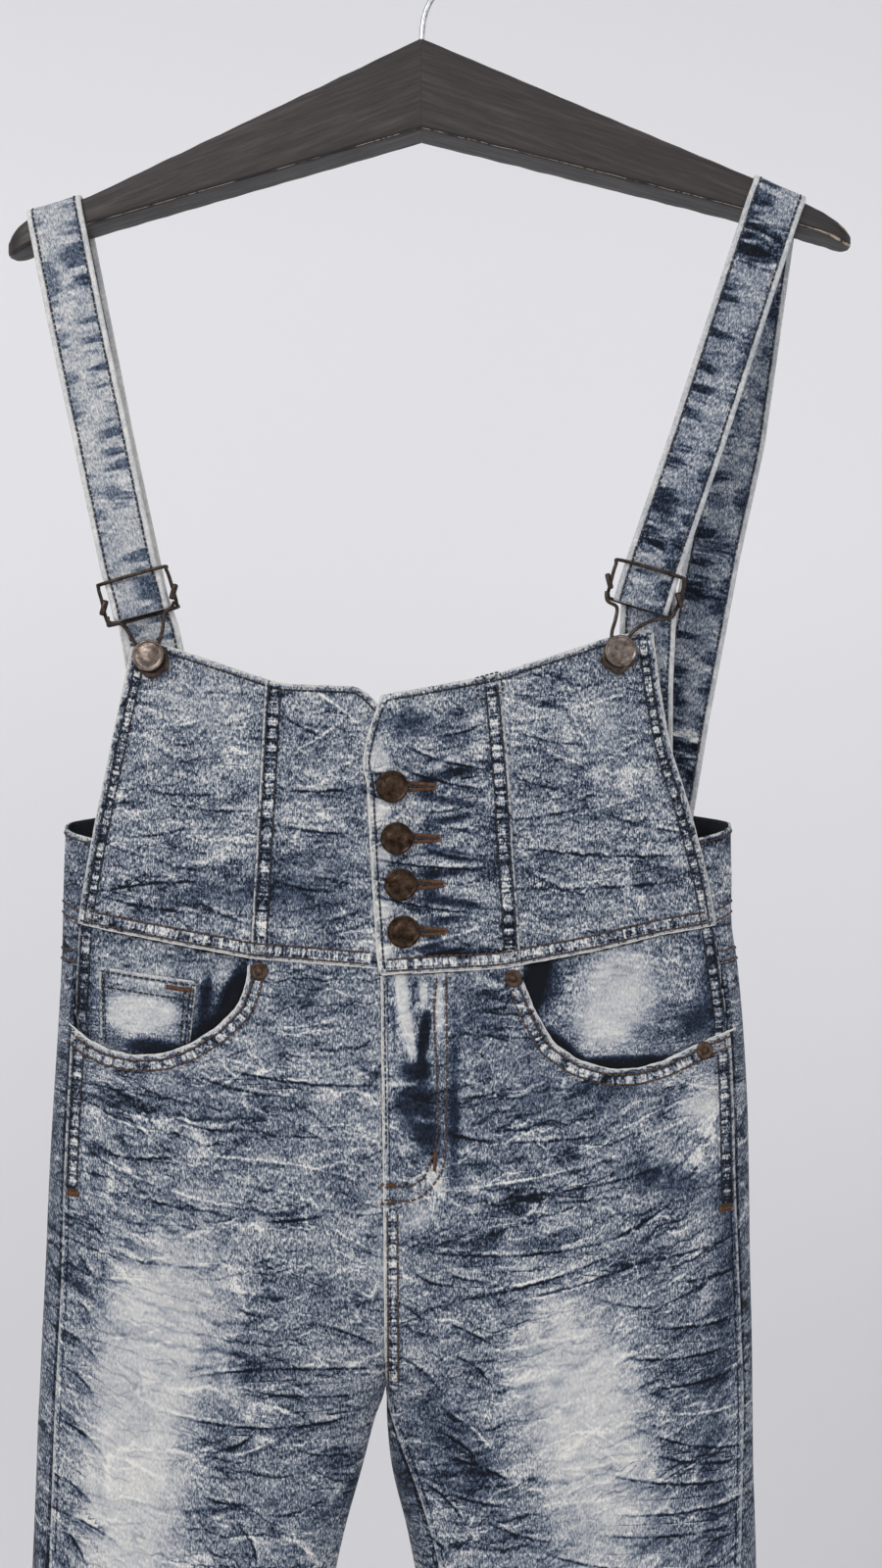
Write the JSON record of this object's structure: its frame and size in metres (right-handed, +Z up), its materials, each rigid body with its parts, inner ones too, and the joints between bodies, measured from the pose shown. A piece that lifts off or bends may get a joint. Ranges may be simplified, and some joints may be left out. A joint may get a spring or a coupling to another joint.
{
  "type": "denim dungarees on a wooden hanger",
  "caption": "Slim denim dungarees with a seamed button-front bib, buckled straps and tapered legs, hung by the straps on a wooden hanger.",
  "frame": {"origin": "inside top of the hanger's hook, where a rail touches it", "axes": "+Z up, the garment's front faces -Y, +X is the viewer's right"},
  "size_m": [0.4461, 0.0807, 1.5079],
  "materials": {
    "denim": "acid-washed stretch denim, matt, crinkled",
    "antique_metal": "antiqued, satin",
    "wood": "dark stain with worn edges",
    "steel": "plated wire"
  },
  "bodies": {
    "root": {"bib_side_left": "denim", "bib_center_left": "denim", "bib_center_right": "denim", "bib_side_right": "denim", "back_upper": "denim", "back_yoke_left": "denim", "back_yoke_right": "denim", "leg_front_left": "denim", "leg_front_right": "denim", "pocket_facing_left": "denim", "pocket_facing_right": "denim", "coin_pocket": "denim", "fly_facing": "denim", "leg_back_left": "denim", "leg_back_right": "denim", "strap_left": "denim", "strap_right": "denim", "strap_tail_left": "denim", "strap_tail_right": "denim", "front_button_1": "antique_metal", "front_button_2": "antique_metal", "front_button_3": "antique_metal", "front_button_4": "antique_metal", "rivet_left": "antique_metal", "rivet_right_inner": "antique_metal", "rivet_right_outer": "antique_metal", "slider_left": "antique_metal", "clasp_left": "antique_metal", "strap_button_left": "antique_metal", "slider_right": "antique_metal", "clasp_right": "antique_metal", "strap_button_right": "antique_metal", "hanger_arm_left": "wood", "hanger_arm_right": "wood", "hanger_hook": "steel"}
  },
  "joints": []
}
